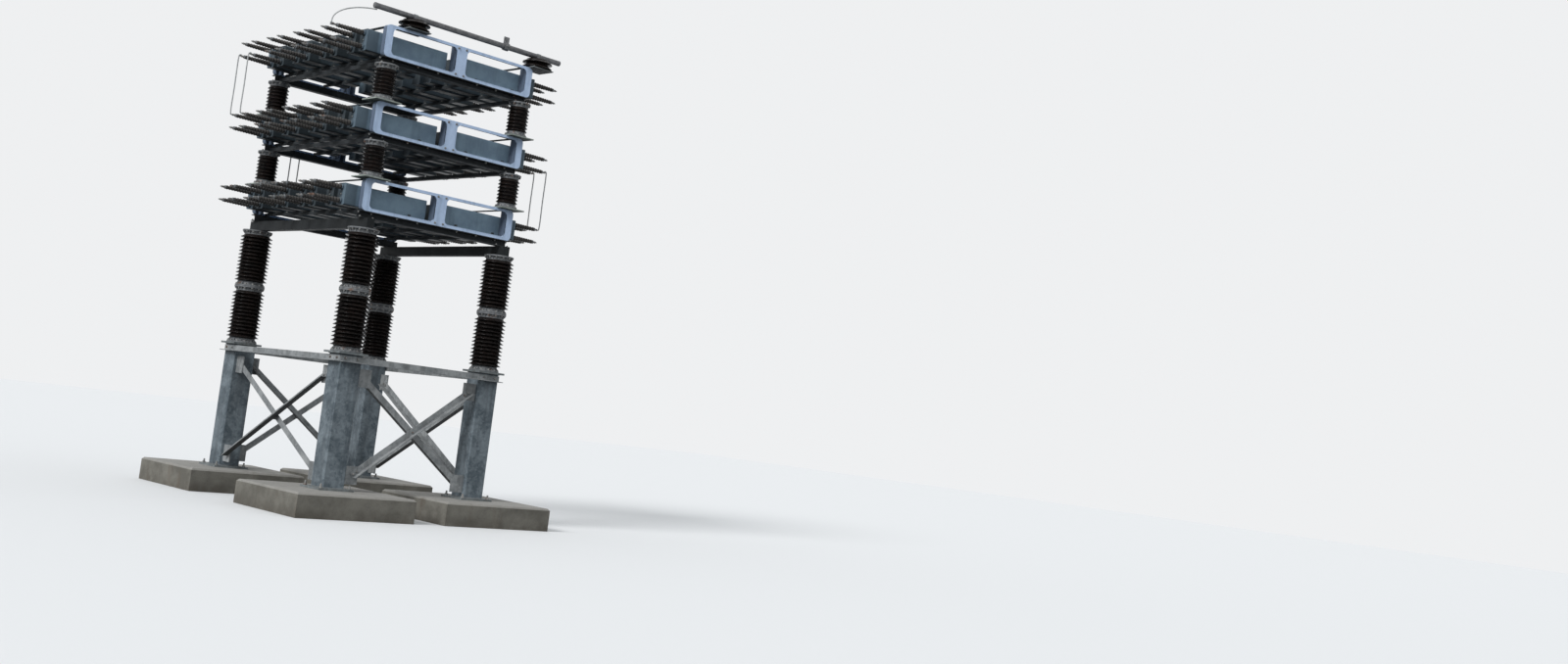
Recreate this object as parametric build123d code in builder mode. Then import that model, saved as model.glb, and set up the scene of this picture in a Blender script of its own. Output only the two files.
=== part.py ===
from build123d import *
from math import atan2, cos, degrees, pi, sin
import os

# Shunt capacitor bank: three tiers of capacitor cans on post insulators over a braced steel stand.
# The origin is at ground level, in the middle of the four footings. X runs across the two rows of
# cans, Y along them, and the end with the bus tube looks along -Y. Sizes are in millimetres.

# The four columns stand at the corners of a rectangle
column_spacing_x = 2050
column_spacing_y = 2900

# Concrete footings
footing_side = 1600
footing_height = 300
footing_chamfer = 25

# Steel stand: box legs between a base plate and a cap plate
leg_side = 300
leg_length = 1670
leg_corner_cut = 14
base_plate_side = 480
base_plate_thickness = 25
cap_plate_side = 400
cap_plate_thickness = 25

# Angle bars of the stand, and the gussets that the braces are bolted to
angle_width = 80
angle_thickness = 9
gusset_width = 190
gusset_height = 230
gusset_thickness = 14
gusset_inset = 60
gusset_lift = 60
crossing_packer_side = 110
ring_drop = 20
seat_gap = 0.3

# Post insulators: porcelain with sheds between metal fittings
fitting_flange_thickness = 22
fitting_neck_height = 45
fitting_sides = 8
lower_flange_radius = 200
lower_neck_radius = 168
lower_porcelain_height = 651
lower_core_radius = 158
lower_shed_radius = 212
lower_shed_count = 8
tier_flange_radius = 152
tier_neck_radius = 124
tier_porcelain_height = 336
tier_core_radius = 114
tier_shed_radius = 145
tier_shed_count = 4
shed_sides = 10
shed_underside_share = 0.35

# Beams that carry a tier
base_beam_height = 130
base_beam_width = 100
beam_overhang = 150
cross_beam_height = 90
cross_beam_width = 110
cross_beam_wall = 10
tie_beam_height = 50
tie_beam_width = 60

# Tier frame: an end panel with two windows at each end, joined by rails
tier_count = 3
frame_height = 415
frame_overhang = 100
panel_thickness = 8
panel_flange_depth = 90
panel_corner_radius = 60
post_depth = 150
corner_post_width = 40
window_post = 100
window_mid_post = 160
window_top_rail = 38
window_bottom_rail = 42
window_corner_cut = 45
floor_rail_height = 40
floor_rail_width = 70
floor_rail_thickness = 7
floor_rail_shares = (0.2, 0.7)
side_rail_width = 55
side_rail_thickness = 8
seat_plate_side = 360
seat_plate_thickness = 15

# Capacitor cans: two rows, end to end, with their lids outwards
pairs_per_row = 4
pair_pitch = 735
can_pitch_in_pair = 290
can_length = 1170
can_headroom = 95
can_thickness = 190
row_gap = 240
bushing_length = 390
bushing_edge_distance = 52
bushing_root_radius = 38
bushing_taper = 1.4
bushing_sides = 6
terminal_side = 24
terminal_length = 60

# Bus tube on two short posts over the front end panel of the top tier
bus_radius = 37.5
bus_left_end = -1315
bus_right_end = 1580
bus_post_core_radius = 150
bus_post_shed_radius = 205
bus_post_height = 130
bus_post_shed_count = 2
bus_post_places = (-720, 1220)
bus_seat_side = 330
bus_seat_thickness = 12
saddle_height = 48
saddle_width = 110
saddle_length = 90

# Clamp on the bus tube, with a four-hole pad for the conductor that leaves the bank
pad_place = 680
pad_side = 80
pad_thickness = 14
pad_hole_radius = 7
pad_hole_spacing = 45
clamp_width = 70
clamp_wall = 14
clamp_sides = 8

# Thin conductors: jumpers between tiers, bonding rods, and the lead from the bus tube
wire_radius = 9
wire_sides = 6
jumper_overlap = 18
bond_places = (-700, -570)
lead_inset = 45
lead_drop = 60
lead_bends = 4

# Heights and half widths that follow from the sizes above
leg_foot = footing_height + base_plate_thickness
leg_head = leg_foot + leg_length
stand_top = leg_head + cap_plate_thickness
fitting_height = fitting_flange_thickness + fitting_neck_height
lower_unit_height = lower_porcelain_height + 2 * fitting_height
tier_unit_height = tier_porcelain_height + 2 * fitting_height
columns_top = stand_top + 2 * lower_unit_height
tier_height = cross_beam_height + frame_height + seat_plate_thickness
tier_pitch = tier_height + tier_unit_height
tier_bases = [columns_top + base_beam_height + level * tier_pitch for level in range(tier_count)]
half_x = column_spacing_x / 2
half_y = column_spacing_y / 2
leg_face_x = half_x + leg_side / 2
leg_face_y = half_y + leg_side / 2
frame_half_x = half_x + frame_overhang
frame_half_y = half_y + cross_beam_width / 2
tie_beam_half_y = half_y - cross_beam_width / 2 - seat_gap
floor_rail_half_y = frame_half_y - panel_flange_depth - seat_gap
side_rail_half_y = frame_half_y - post_depth - seat_gap
can_height = frame_height - floor_rail_height - can_headroom
can_middle = cross_beam_height + floor_rail_height + can_height / 2
can_root_x = row_gap / 2
can_lid_x = can_root_x + can_length
bushing_rise = can_height / 2 - bushing_edge_distance
terminal_end_x = can_lid_x + bushing_length + terminal_length
pair_places_y = [(index - (pairs_per_row - 1) / 2) * pair_pitch for index in range(pairs_per_row)]
can_places_y = [y + step * can_pitch_in_pair / 2 for y in pair_places_y for step in (-1, 1)]
column_places = [(x, y) for y in (-half_y, half_y) for x in (-half_x, half_x)]
column_names = ("front_left", "front_right", "back_left", "back_right")
sides = ((-1, "left"), (1, "right"))


def write(piece, name):
    piece.part.label = name
    export_step(piece.part, f"parts/{name}.step")


def at_columns(height):
    return [(x, y, height) for x, y in column_places]


def copies(piece, places):
    with BuildPart() as group:
        with Locations(*places):
            add(piece)
    return group


def column_plates(side, thickness, height):
    with BuildPart() as plates:
        with BuildSketch(Plane.XY.offset(height)):
            with Locations(*column_places):
                Rectangle(side, side)
        extrude(amount=thickness)
    return plates


def angle_bar(start, end, outward):
    # An L section from start to end: one leg lies flat on the seat plane that outward points away
    # from, and the other stands out from its lower edge.
    run = Vector(*end) - Vector(*start)
    direction = run.normalized()
    across = Vector(*outward).cross(direction)
    low = -angle_width / 2
    with BuildPart() as bar:
        with BuildSketch(Plane(origin=start, x_dir=across, z_dir=direction)):
            with BuildLine():
                Polyline(
                    (low, 0),
                    (low, angle_width),
                    (low + angle_thickness, angle_width),
                    (low + angle_thickness, angle_thickness),
                    (low + angle_width, angle_thickness),
                    (low + angle_width, 0),
                    close=True,
                )
            make_face()
        extrude(amount=run.length)
    return bar.part


def fitting(flange_radius, neck_radius, flange_up):
    # The metal end of an insulator: a bolting flange and the neck that holds the porcelain
    flange_base = fitting_neck_height if flange_up else 0
    neck_base = 0 if flange_up else fitting_flange_thickness
    with BuildPart() as end:
        with BuildSketch(Plane.XY.offset(flange_base)):
            RegularPolygon(flange_radius, fitting_sides)
        extrude(amount=fitting_flange_thickness)
        with BuildSketch(Plane.XY.offset(neck_base)):
            RegularPolygon(neck_radius, fitting_sides)
        extrude(amount=fitting_neck_height)
    return end.part


def porcelain(height, core_radius, shed_radius, shed_count):
    # Sheds of equal pitch: each has a short slope under its rim and a long slope over it
    pitch = height / shed_count
    under = shed_underside_share * pitch
    reach = (shed_radius - core_radius) * cos(pi / shed_sides)
    with BuildPart() as shed:
        for rim_plane, rise in ((Plane.XY, pitch - under), (-Plane.XY, under)):
            with BuildSketch(rim_plane):
                RegularPolygon(shed_radius, shed_sides)
            extrude(amount=rise)
            upright = shed.faces().filter_by(lambda face: abs(face.normal_at().Z) < 0.01)
            draft(upright, rim_plane, degrees(atan2(reach, rise)))
    with BuildPart() as body:
        with Locations(*[(0, 0, index * pitch + under) for index in range(shed_count)]):
            add(shed.part)
    return body.part


def bushing(side):
    # A tapered rod out of a lid at the origin, with a square terminal stud at its tip
    lid = Plane.YZ if side > 0 else -Plane.YZ
    with BuildPart() as rod:
        with BuildSketch(lid):
            RegularPolygon(bushing_root_radius, bushing_sides)
        extrude(amount=bushing_length)
        draft(rod.faces().filter_by(Axis.X, reverse=True), lid, bushing_taper)
        with BuildSketch(lid.offset(bushing_length)):
            Rectangle(terminal_side, terminal_side)
        extrude(amount=terminal_length)
    return rod.part


os.makedirs("parts", exist_ok=True)

# Footings: one block under each leg
for (x, y), place in zip(column_places, column_names):
    with BuildPart() as footing:
        with BuildSketch(Plane.XY):
            with Locations((x, y)):
                Rectangle(footing_side, footing_side)
        extrude(amount=footing_height)
        chamfer(footing.faces().sort_by(Axis.Z)[-1].edges(), footing_chamfer)
    write(footing, f"footing_{place}")

# Legs, with a plate under each and one on top
for (x, y), place in zip(column_places, column_names):
    with BuildPart() as leg:
        with BuildSketch(Plane.XY.offset(leg_foot)) as leg_section:
            with Locations((x, y)):
                Rectangle(leg_side, leg_side)
            chamfer(leg_section.vertices(), leg_corner_cut)
        extrude(amount=leg_length)
    write(leg, f"leg_{place}")

write(column_plates(base_plate_side, base_plate_thickness, footing_height), "base_plates")
write(column_plates(cap_plate_side, cap_plate_thickness, leg_head), "cap_plates")

# Ring of angle bars on the outer faces of the legs, just under the cap plates
ring_height = leg_head - ring_drop - angle_width / 2
with BuildPart() as ring_bars_x:
    for side in (-1, 1):
        seat_y = side * leg_face_y
        ends = [(-leg_face_x, seat_y, ring_height), (leg_face_x, seat_y, ring_height)]
        add(angle_bar(ends[side > 0], ends[side < 0], (0, side, 0)))
write(ring_bars_x, "ring_bars_x")

with BuildPart() as ring_bars_y:
    for side in (-1, 1):
        seat_x = side * leg_face_x
        ends = [(seat_x, leg_face_y, ring_height), (seat_x, -leg_face_y, ring_height)]
        add(angle_bar(ends[side > 0], ends[side < 0], (side, 0, 0)))
write(ring_bars_y, "ring_bars_y")

# Gussets: upright plates on the inner sides of the legs, in the plane of each braced face, and a
# packer between each pair of braces where they cross
gusset_low = leg_foot + gusset_lift + gusset_height / 2
gusset_high = ring_height - angle_width / 2 - gusset_lift - gusset_height / 2
gusset_reach_x = half_x - leg_side / 2 - gusset_width / 2
gusset_reach_y = half_y - leg_side / 2 - gusset_width / 2
gusset_plane_x = leg_face_x - gusset_inset
gusset_plane_y = leg_face_y - gusset_inset
packer_height = (gusset_low + gusset_high) / 2
with BuildPart() as gussets:
    for side in (-1, 1):
        for height in (gusset_low, gusset_high):
            with Locations(*[(x, side * gusset_plane_y, height) for x in (-gusset_reach_x, gusset_reach_x)]):
                Box(gusset_width, gusset_thickness, gusset_height)
            with Locations(*[(side * gusset_plane_x, y, height) for y in (-gusset_reach_y, gusset_reach_y)]):
                Box(gusset_thickness, gusset_width, gusset_height)
        with Locations((0, side * gusset_plane_y, packer_height)):
            Box(crossing_packer_side, gusset_thickness, crossing_packer_side)
        with Locations((side * gusset_plane_x, 0, packer_height)):
            Box(gusset_thickness, crossing_packer_side, crossing_packer_side)
write(gussets, "gussets")

# Crossed braces: on each face one runs outside the gussets and the other inside them
seat_offset = gusset_thickness / 2
for side, place in ((-1, "front"), (1, "back")):
    outer_y = side * (gusset_plane_y + seat_offset)
    inner_y = side * (gusset_plane_y - seat_offset)
    with BuildPart() as braces:
        rising = [(-gusset_reach_x, outer_y, gusset_low), (gusset_reach_x, outer_y, gusset_high)]
        add(angle_bar(rising[side > 0], rising[side < 0], (0, side, 0)))
        falling = [(-gusset_reach_x, inner_y, gusset_high), (gusset_reach_x, inner_y, gusset_low)]
        add(angle_bar(falling[side < 0], falling[side > 0], (0, -side, 0)))
    write(braces, f"braces_{place}")

for side, place in sides:
    outer_x = side * (gusset_plane_x + seat_offset)
    inner_x = side * (gusset_plane_x - seat_offset)
    with BuildPart() as braces:
        rising = [(outer_x, gusset_reach_y, gusset_low), (outer_x, -gusset_reach_y, gusset_high)]
        add(angle_bar(rising[side > 0], rising[side < 0], (side, 0, 0)))
        falling = [(inner_x, gusset_reach_y, gusset_high), (inner_x, -gusset_reach_y, gusset_low)]
        add(angle_bar(falling[side < 0], falling[side > 0], (-side, 0, 0)))
    write(braces, f"braces_{place}")

# Lower post insulators: two units in each column
lower_foot = fitting(lower_flange_radius, lower_neck_radius, False)
lower_head = fitting(lower_flange_radius, lower_neck_radius, True)
lower_body = porcelain(lower_porcelain_height, lower_core_radius, lower_shed_radius, lower_shed_count)
for unit, place in enumerate(("bottom", "top")):
    body_base = stand_top + unit * lower_unit_height + fitting_height
    write(copies(lower_body, at_columns(body_base)), f"stand_insulators_{place}")

with BuildPart() as lower_fittings:
    for unit in (0, 1):
        unit_base = stand_top + unit * lower_unit_height
        with Locations(*at_columns(unit_base)):
            add(lower_foot)
        with Locations(*at_columns(unit_base + lower_unit_height - fitting_height)):
            add(lower_head)
write(lower_fittings, "stand_insulator_fittings")

# Base beams along Y on the tops of the columns
with BuildPart() as base_beams:
    with Locations(*[(x, 0, columns_top + base_beam_height / 2) for x in (-half_x, half_x)]):
        Box(base_beam_width, column_spacing_y + 2 * beam_overhang, base_beam_height)
write(base_beams, "base_beams")

# The pieces of a tier that are alike in all three
window_height = frame_height - window_top_rail - window_bottom_rail
window_width = (2 * frame_half_x - 2 * window_post - window_mid_post) / 2
window_shift = (window_width + window_mid_post) / 2
corner_post_x = frame_half_x - panel_corner_radius - corner_post_width / 2
channel_x = (window_mid_post - panel_thickness) / 2
side_rail_x = frame_half_x - panel_corner_radius - side_rail_width / 2
floor_rail_places = [side * (can_root_x + can_length * share) for side in (-1, 1) for share in floor_rail_shares]
bushings = {side: bushing(side) for side in (-1, 1)}

for tier, tier_base in enumerate(tier_bases, start=1):
    frame_base = tier_base + cross_beam_height
    frame_top = frame_base + frame_height
    frame_middle = (frame_base + frame_top) / 2

    # Cross beams: channels along X, open towards the outside
    with BuildPart() as cross_beams:
        for side in (-1, 1):
            inner = side * (half_y - cross_beam_width / 2)
            web = inner + side * cross_beam_wall
            outer = inner + side * cross_beam_width
            with BuildSketch(Plane.YZ.offset(-frame_half_x)):
                with BuildLine():
                    Polyline(
                        (inner, tier_base),
                        (outer, tier_base),
                        (outer, tier_base + cross_beam_wall),
                        (web, tier_base + cross_beam_wall),
                        (web, frame_base - cross_beam_wall),
                        (outer, frame_base - cross_beam_wall),
                        (outer, frame_base),
                        (inner, frame_base),
                        close=True,
                    )
                make_face()
            extrude(amount=2 * frame_half_x)
    write(cross_beams, f"tier_{tier}_cross_beams")

    # End frames: a windowed panel with flanges turned inwards, a box post behind each end and a
    # channel behind the middle
    with BuildPart() as end_frames:
        for side in (-1, 1):
            with BuildSketch(Plane.XZ.offset(-side * frame_half_y)):
                with Locations((0, frame_middle)):
                    RectangleRounded(2 * frame_half_x, frame_height, panel_corner_radius)
                with BuildSketch(mode=Mode.SUBTRACT) as windows:
                    window_middle = frame_base + window_bottom_rail + window_height / 2
                    with Locations((-window_shift, window_middle), (window_shift, window_middle)):
                        Rectangle(window_width, window_height)
                    chamfer(windows.vertices(), window_corner_cut)
            extrude(amount=side * panel_thickness)
            flange_y = side * (frame_half_y - panel_flange_depth / 2)
            flange_length = 2 * (frame_half_x - panel_corner_radius)
            flange_levels = (frame_base + panel_thickness / 2, frame_top - panel_thickness / 2)
            with Locations(*[(0, flange_y, level) for level in flange_levels]):
                Box(flange_length, panel_flange_depth, panel_thickness)
            post_y = side * (frame_half_y - post_depth / 2)
            with Locations(*[(x, post_y, frame_middle) for x in (-corner_post_x, corner_post_x)]):
                Box(corner_post_width, post_depth, frame_height)
            with Locations(*[(x, post_y, frame_middle) for x in (-channel_x, channel_x)]):
                Box(panel_thickness, post_depth, frame_height)
    write(end_frames, f"tier_{tier}_end_frames")

    # Floor rails along Y, resting on the cross beams between the end frames
    with BuildPart() as floor_rails:
        rail_head = frame_base + floor_rail_height
        for x in floor_rail_places:
            low = x - floor_rail_width / 2
            with BuildSketch(Plane.XZ.offset(floor_rail_half_y)):
                with BuildLine():
                    Polyline(
                        (low, frame_base),
                        (low, rail_head),
                        (low + floor_rail_width, rail_head),
                        (low + floor_rail_width, rail_head - floor_rail_thickness),
                        (low + floor_rail_thickness, rail_head - floor_rail_thickness),
                        (low + floor_rail_thickness, frame_base),
                        close=True,
                    )
                make_face()
            extrude(amount=-2 * floor_rail_half_y)
    write(floor_rails, f"tier_{tier}_floor_rails")

    # Side rails along Y over the cans, between the tops of the end frames
    with BuildPart() as side_rails:
        rail_middle = frame_top - side_rail_thickness / 2
        with Locations((-side_rail_x, 0, rail_middle), (side_rail_x, 0, rail_middle)):
            Box(side_rail_width, 2 * side_rail_half_y, side_rail_thickness)
    write(side_rails, f"tier_{tier}_side_rails")

    # Capacitor cans, with two bushings on each lid
    for side, place in sides:
        with BuildPart() as cans:
            with BuildSketch(Plane.YZ.offset(side * can_root_x)):
                with Locations(*[(y, tier_base + can_middle) for y in can_places_y]):
                    Rectangle(can_thickness, can_height)
            extrude(amount=side * can_length)
        write(cans, f"tier_{tier}_cans_{place}")

        levels = (tier_base + can_middle - bushing_rise, tier_base + can_middle + bushing_rise)
        bushing_places = [(side * can_lid_x, y, level) for y in can_places_y for level in levels]
        write(copies(bushings[side], bushing_places), f"tier_{tier}_bushings_{place}")

# Tie beams along Y between the cross beams of the upper tiers. Under the first tier the base beams
# do this work.
with BuildPart() as tie_beams:
    for tier_base in tier_bases[1:]:
        with Locations(*[(x, 0, tier_base + tie_beam_height / 2) for x in (-half_x, half_x)]):
            Box(tie_beam_width, 2 * tie_beam_half_y, tie_beam_height)
write(tie_beams, "tie_beams")

# Seat plates and insulators between the tiers
tier_foot = fitting(tier_flange_radius, tier_neck_radius, False)
tier_head = fitting(tier_flange_radius, tier_neck_radius, True)
tier_body = porcelain(tier_porcelain_height, tier_core_radius, tier_shed_radius, tier_shed_count)
for tier, tier_base in enumerate(tier_bases[:-1], start=1):
    plate_base = tier_base + cross_beam_height + frame_height
    unit_base = plate_base + seat_plate_thickness
    write(column_plates(seat_plate_side, seat_plate_thickness, plate_base), f"tier_{tier}_seat_plates")
    write(copies(tier_body, at_columns(unit_base + fitting_height)), f"tier_{tier}_insulators")
    with BuildPart() as tier_fittings:
        with Locations(*at_columns(unit_base)):
            add(tier_foot)
        with Locations(*at_columns(unit_base + tier_unit_height - fitting_height)):
            add(tier_head)
    write(tier_fittings, f"tier_{tier}_insulator_fittings")

# Bus tube on two short posts over the front end panel of the top tier
bus_y = -half_y
top_of_frames = tier_bases[-1] + cross_beam_height + frame_height
bus_post_base = top_of_frames + bus_seat_thickness
saddle_base = bus_post_base + bus_post_height
bus_level = saddle_base + saddle_height
with BuildPart() as bus_seats:
    with BuildSketch(Plane.XY.offset(top_of_frames)):
        with Locations(*[(x, bus_y) for x in bus_post_places]):
            Rectangle(bus_seat_side, bus_seat_side)
    extrude(amount=bus_seat_thickness)
write(bus_seats, "bus_seats")

bus_post = porcelain(bus_post_height, bus_post_core_radius, bus_post_shed_radius, bus_post_shed_count)
write(copies(bus_post, [(x, bus_y, bus_post_base) for x in bus_post_places]), "bus_posts")

with BuildPart() as bus_saddles:
    with Locations(*[(x, bus_y, saddle_base + saddle_height / 2) for x in bus_post_places]):
        Box(saddle_length, saddle_width, saddle_height)
    with Locations((0, bus_y, bus_level)):
        Cylinder(bus_radius + seat_gap, 2 * bus_right_end, rotation=(0, 90, 0), mode=Mode.SUBTRACT)
write(bus_saddles, "bus_saddles")

with BuildPart() as bus_tube:
    with BuildSketch(Plane.YZ.offset(bus_left_end)):
        with Locations((bus_y, bus_level)):
            Circle(bus_radius)
    extrude(amount=bus_right_end - bus_left_end)
write(bus_tube, "bus_tube")

# Terminal clamp round the bus tube, and the pad that stands on it
clamp_radius = bus_radius + seat_gap + clamp_wall
with BuildPart() as bus_clamp:
    with BuildSketch(Plane.YZ.offset(pad_place - clamp_width / 2)):
        with Locations((bus_y, bus_level)):
            RegularPolygon(clamp_radius, clamp_sides, major_radius=False)
    extrude(amount=clamp_width)
    with BuildSketch(Plane.XZ.offset(-bus_y - pad_thickness / 2)):
        with Locations((pad_place, bus_level + clamp_radius + pad_side / 2)):
            Rectangle(pad_side, pad_side)
            with GridLocations(pad_hole_spacing, pad_hole_spacing, 2, 2):
                Circle(pad_hole_radius, mode=Mode.SUBTRACT)
    extrude(amount=pad_thickness)
    with BuildSketch(Plane.YZ.offset(pad_place)):
        with Locations((bus_y, bus_level)):
            Circle(bus_radius + seat_gap)
    extrude(amount=clamp_width, both=True, mode=Mode.SUBTRACT)
write(bus_clamp, "bus_clamp")

# Jumpers: upright conductors from the lower terminals of one tier to the upper ones of the next
jumper_x = terminal_end_x + wire_radius + seat_gap
with BuildPart() as jumpers:
    for upper, side, cans in ((2, -1, (-1, -2)), (1, 1, (0, 1))):
        high = tier_bases[upper] + can_middle - bushing_rise + jumper_overlap
        low = tier_bases[upper - 1] + can_middle + bushing_rise - jumper_overlap
        with BuildSketch(Plane.XY.offset(low)):
            with Locations(*[(side * jumper_x, can_places_y[can]) for can in cans]):
                RegularPolygon(wire_radius, wire_sides)
        extrude(amount=high - low)
write(jumpers, "jumpers")

# Bonding rods between the frames of the first two tiers, at the back
bond_low = tier_bases[0] + cross_beam_height + frame_height + seat_gap
bond_high = tier_bases[1] - seat_gap
with BuildPart() as bonding_rods:
    with BuildSketch(Plane.XY.offset(bond_low)):
        with Locations(*[(x, half_y) for x in bond_places]):
            RegularPolygon(wire_radius, wire_sides)
    extrude(amount=bond_high - bond_low)
write(bonding_rods, "bonding_rods")

# Lead from under the left end of the bus tube: it leaves level, bends down and drops past the
# first terminal
lead_start = Vector(bus_left_end + lead_inset, bus_y, bus_level - bus_radius - seat_gap - wire_radius)
lead_end = Vector(-jumper_x, can_places_y[0], tier_bases[-1] + can_middle + bushing_rise - jumper_overlap)
lead_run = lead_end + Vector(0, 0, lead_drop) - lead_start
turns = [pi / 2 * bend / lead_bends for bend in range(lead_bends + 1)]
lead_points = [
    lead_start + Vector(lead_run.X * sin(turn), lead_run.Y * sin(turn), lead_run.Z * (1 - cos(turn)))
    for turn in turns
] + [lead_end]
with BuildPart() as down_lead:
    with BuildLine() as route:
        Polyline(*lead_points)
    with BuildSketch(Plane(origin=route.line @ 0, z_dir=route.line % 0)):
        RegularPolygon(wire_radius, wire_sides)
    sweep(transition=Transition.RIGHT)
write(down_lead, "down_lead")
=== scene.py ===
from math import cos, pi, radians, sin

import bmesh
import bpy
from mathutils import Matrix, Vector


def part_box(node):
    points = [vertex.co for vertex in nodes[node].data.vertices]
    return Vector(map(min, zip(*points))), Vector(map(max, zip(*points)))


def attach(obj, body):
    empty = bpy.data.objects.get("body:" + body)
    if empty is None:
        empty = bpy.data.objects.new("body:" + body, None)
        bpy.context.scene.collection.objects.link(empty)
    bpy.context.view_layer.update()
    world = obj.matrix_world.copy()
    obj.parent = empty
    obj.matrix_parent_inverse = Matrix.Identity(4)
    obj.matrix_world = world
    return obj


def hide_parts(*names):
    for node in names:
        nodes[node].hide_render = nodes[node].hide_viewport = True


# Looks for the shunt capacitor bank. Metres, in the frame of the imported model: X across the two rows
# of cans, Y along them, ground at Z = 0.

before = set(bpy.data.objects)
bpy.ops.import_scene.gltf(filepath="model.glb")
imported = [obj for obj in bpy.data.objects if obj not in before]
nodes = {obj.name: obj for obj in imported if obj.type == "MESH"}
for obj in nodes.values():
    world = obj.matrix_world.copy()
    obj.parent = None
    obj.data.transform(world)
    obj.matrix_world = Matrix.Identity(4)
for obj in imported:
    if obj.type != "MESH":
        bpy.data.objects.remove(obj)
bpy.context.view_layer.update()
print("frame loaded:", len(nodes), "nodes")

# places that the whole bank shares: the four legs and columns, the tiers, the two rows of cans
columnSpots = []
for corner in ("front_left", "front_right", "back_left", "back_right"):
    low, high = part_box("leg_" + corner)
    columnSpots.append(Vector(((low.x + high.x) / 2, (low.y + high.y) / 2, 0)))
tiers = (1, 2, 3)
sides = ((-1, "left"), (1, "right"))
aboutTurn = Matrix.Rotation(pi, 4, "Z")


# tools that select, shape and copy

def deselect():
    bpy.ops.object.select_all(action="DESELECT")


def hold(piece):
    # makes it the one selected and active piece
    deselect()
    piece.select_set(True)
    bpy.context.view_layer.objects.active = piece


def settle(name):
    # names the new primitive and puts its place into its mesh
    piece = bpy.context.active_object
    piece.name = piece.data.name = name
    bpy.ops.object.transform_apply(location=True, rotation=True, scale=True)
    return piece


def block(name, low, high):
    low, high = Vector(low), Vector(high)
    deselect()
    bpy.ops.mesh.primitive_cube_add(size=1, location=(low + high) / 2, scale=high - low)
    return settle(name)


def startEdit(piece, kind="FACE"):
    hold(piece)
    bpy.ops.object.mode_set(mode="EDIT")
    bpy.ops.mesh.select_mode(type=kind)
    bpy.ops.mesh.select_all(action="DESELECT")


def endEdit(outward=False):
    if outward:
        bpy.ops.mesh.select_all(action="SELECT")
        bpy.ops.mesh.remove_doubles(threshold=1e-5)
        bpy.ops.mesh.normals_make_consistent(inside=False)
    bpy.ops.object.mode_set(mode="OBJECT")


def pick(piece, choose):
    # selects what choose finds in the mesh
    bpy.ops.mesh.select_all(action="DESELECT")
    mesh = bmesh.from_edit_mesh(piece.data)
    for part in choose(mesh):
        part.select_set(True)
    bmesh.update_edit_mesh(piece.data)


def pickFaces(piece, test):
    # faces by their middle and normal
    pick(piece, lambda mesh: [face for face in mesh.faces if test(face.calc_center_median(), face.normal)])


def pickEdges(piece, test):
    # edges by their two ends
    pick(piece, lambda mesh: [edge for edge in mesh.edges if test(edge.verts[0].co, edge.verts[1].co)])


def cutAt(place, direction, **settings):
    # bisects everything in edit mode
    bpy.ops.mesh.select_all(action="SELECT")
    bpy.ops.mesh.bisect(plane_co=place, plane_no=direction, **settings)


def worked(piece, kind, **settings):
    # adds one modifier and applies it
    hold(piece)
    bpy.ops.object.modifier_add(type=kind)
    modifier = piece.modifiers[-1]
    for key, value in settings.items():
        setattr(modifier, key, value)
    bpy.ops.object.modifier_apply(modifier=modifier.name)
    return piece


def eased(piece, width, segments=2, angle=35):
    # rounds the sharp edges
    limit = {"limit_method": "ANGLE", "angle_limit": radians(angle)}
    return worked(piece, "BEVEL", width=width, segments=segments, **limit)


def turned(name, outline, sides):
    # a closed lathe shape round Z: the first circle is pushed up and scaled along the outline
    radius, height = outline[0]
    deselect()
    bpy.ops.mesh.primitive_circle_add(
        vertices=sides, radius=radius, fill_type="NGON", location=(0, 0, height))
    piece = settle(name)
    startEdit(piece)
    bpy.ops.mesh.select_all(action="SELECT")
    for nextRadius, nextHeight in outline[1:]:
        bpy.ops.mesh.extrude_region_move(TRANSFORM_OT_translate={"value": (0, 0, nextHeight - height)})
        grow = nextRadius / radius
        bpy.ops.transform.resize(value=(grow, grow, 1), center_override=(0, 0, nextHeight))
        radius, height = nextRadius, nextHeight
    endEdit(outward=True)
    return piece


def raised(outline, height):
    return [(radius, height + up) for radius, up in outline]


def facing(place, direction=(0, 0, 1)):
    # where a piece that stands on the origin goes, with its +Z along direction
    return Matrix.Translation(place) @ Vector(direction).to_track_quat("Z", "Y").to_matrix().to_4x4()


def ringSpots(level, radius, count, turn=0.0):
    # spots round a circle about Z
    angles = [turn + 2 * pi * index / count for index in range(count)]
    return [facing((radius * cos(angle), radius * sin(angle), level)) for angle in angles]


def squareSpots(middles, reach, level):
    # four corners round each middle
    return [
        facing((middle.x + outX * reach, middle.y + outY * reach, level))
        for middle in middles for outX in (-1, 1) for outY in (-1, 1)
    ]


def stamped(name, master, spots, keep=False):
    # a copy of the modelled piece at every spot, each with its own mesh, joined
    copies = []
    for spot in spots:
        copy = master.copy()
        copy.data = master.data.copy()
        bpy.context.scene.collection.objects.link(copy)
        copy.data.transform(spot)
        copies.append(copy)
    if not keep:
        bpy.data.objects.remove(master)
    return joined(name, copies)


def joined(name, pieces):
    hold(pieces[0])
    for piece in pieces:
        piece.select_set(True)
    bpy.ops.object.join()
    pieces[0].name = pieces[0].data.name = name
    return pieces[0]


def coated(piece, coat):
    piece.data.materials.clear()
    piece.data.materials.append(coat)
    return piece


def fitted(piece, slot, *instead, smooth=35):
    # the piece rides on the bank, and stands in for the nodes named
    hold(piece)
    piece.name = piece.data.name = piece.name.replace(" ", "_")
    bpy.ops.object.shade_smooth_by_angle(angle=radians(smooth))
    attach(piece, "root")
    if instead:
        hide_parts(*instead)


# node trees and the maths on their sockets

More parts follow.
